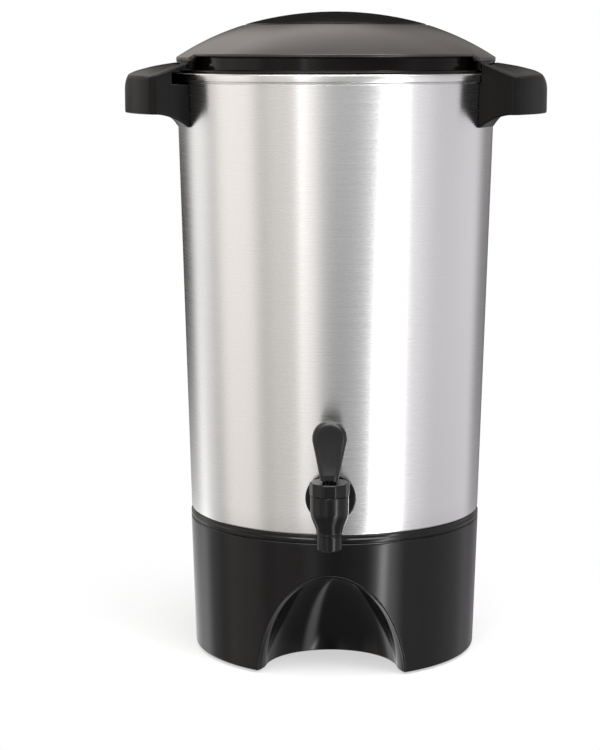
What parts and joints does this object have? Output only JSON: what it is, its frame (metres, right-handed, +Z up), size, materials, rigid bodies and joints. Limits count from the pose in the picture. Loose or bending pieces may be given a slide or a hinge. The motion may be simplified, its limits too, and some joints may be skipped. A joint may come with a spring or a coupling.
{
  "type": "coffee percolator urn",
  "caption": "Electric coffee percolator urn: tapered brushed tank with rolled rim, side handles, twist-lock lid, lever spigot and a black base with an arched cup niche.",
  "frame": {"origin": "on the table, under the axis of the tank", "axes": "+Z up along the tank axis, -Y towards the spigot and the cup niche, the handles on +X and -X"},
  "size_m": [0.266, 0.2334, 0.4064],
  "materials": {
    "tank_metal": "brushed around the tank, clear satin",
    "inner_metal": "plain satin sheet",
    "steel": "plated, satin",
    "heater_sheath": "dark oxidised sheath",
    "fuse_ceramic": "matt",
    "control_plastic": "matt phenolic",
    "wire_sleeve": "woven sleeve",
    "silicone": "satin silicone",
    "black_rubber": "matt",
    "base_plastic": "moulded, satin gloss",
    "cover_plastic": "moulded, matt",
    "handle_plastic": "moulded, fine grain",
    "lid_plastic": "moulded, satin",
    "cap_plastic": "gloss",
    "ring_plastic": "gloss",
    "spigot_plastic": "gloss",
    "lever_plastic": "moulded, fine grain",
    "stem_plastic": "matt"
  },
  "bodies": {
    "urn": {"tank": "tank_metal", "heating_well": "inner_metal", "well_gasket": "silicone", "well_ring": "steel", "pump_heater": "heater_sheath", "warming_heater": "heater_sheath", "thermostat": "control_plastic", "thermal_fuse": "fuse_ceramic", "heat_shield": "steel", "shield_nut": "steel", "clamp_rod": "steel", "clamp_nut": "steel", "base_collar": "base_plastic", "base_skirt": "base_plastic", "bottom_cover": "cover_plastic", "cover_screws": "steel", "feet": "black_rubber", "cord_bush": "black_rubber", "inner_wires": "wire_sleeve", "left_handle": "handle_plastic", "right_handle": "handle_plastic", "handle_screws": "steel", "handle_washers": "silicone", "spigot_body": "spigot_plastic", "spigot_gasket": "black_rubber", "spigot_inner_washer": "silicone", "shank_nut": "spigot_plastic", "spigot_bonnet": "spigot_plastic"},
    "lid_ring": {"lid_seat_ring": "ring_plastic"},
    "lid": {"lid_dome": "lid_plastic", "lid_cap": "cap_plastic"},
    "valve": {"valve_stem": "stem_plastic", "seat_cup": "silicone", "lever_pin": "stem_plastic"},
    "lever": {"spigot_lever": "lever_plastic"},
    "pump": {"pump_stem": "inner_metal", "coffee_basket": "inner_metal"},
    "basket_top": {"basket_lid": "inner_metal"}
  },
  "joints": [
    {"name": "lid_lift", "type": "slide", "parent": "urn", "child": "lid_ring", "axis": [0, 0, 1], "range_m": [0, 0.12]},
    {"name": "lid_twist", "type": "hinge", "parent": "lid_ring", "child": "lid", "pos_m": [0, 0, 0.3685], "axis": [0, 0, 1], "range_deg": [0, 40]},
    {"name": "valve_lift", "type": "slide", "parent": "urn", "child": "valve", "axis": [0, 0, 1], "range_m": [0, 0.00279], "stiffness_N_per_m": 150, "springref_m": -0.004},
    {"name": "lever_tilt", "type": "hinge", "parent": "valve", "child": "lever", "pos_m": [0, -0.12098, 0.138], "axis": [1, 0, 0], "range_deg": [0, 40]},
    {"name": "pump_lift", "type": "slide", "parent": "urn", "child": "pump", "axis": [0, 0, 1], "range_m": [0, 0.02]},
    {"name": "basket_lid_lift", "type": "slide", "parent": "pump", "child": "basket_top", "axis": [0, 0, 1], "range_m": [0, 0.025]}
  ],
  "couplings": [
    {"joint": "lever_tilt", "follows": "valve_lift", "rad_per_m": 250}
  ]
}
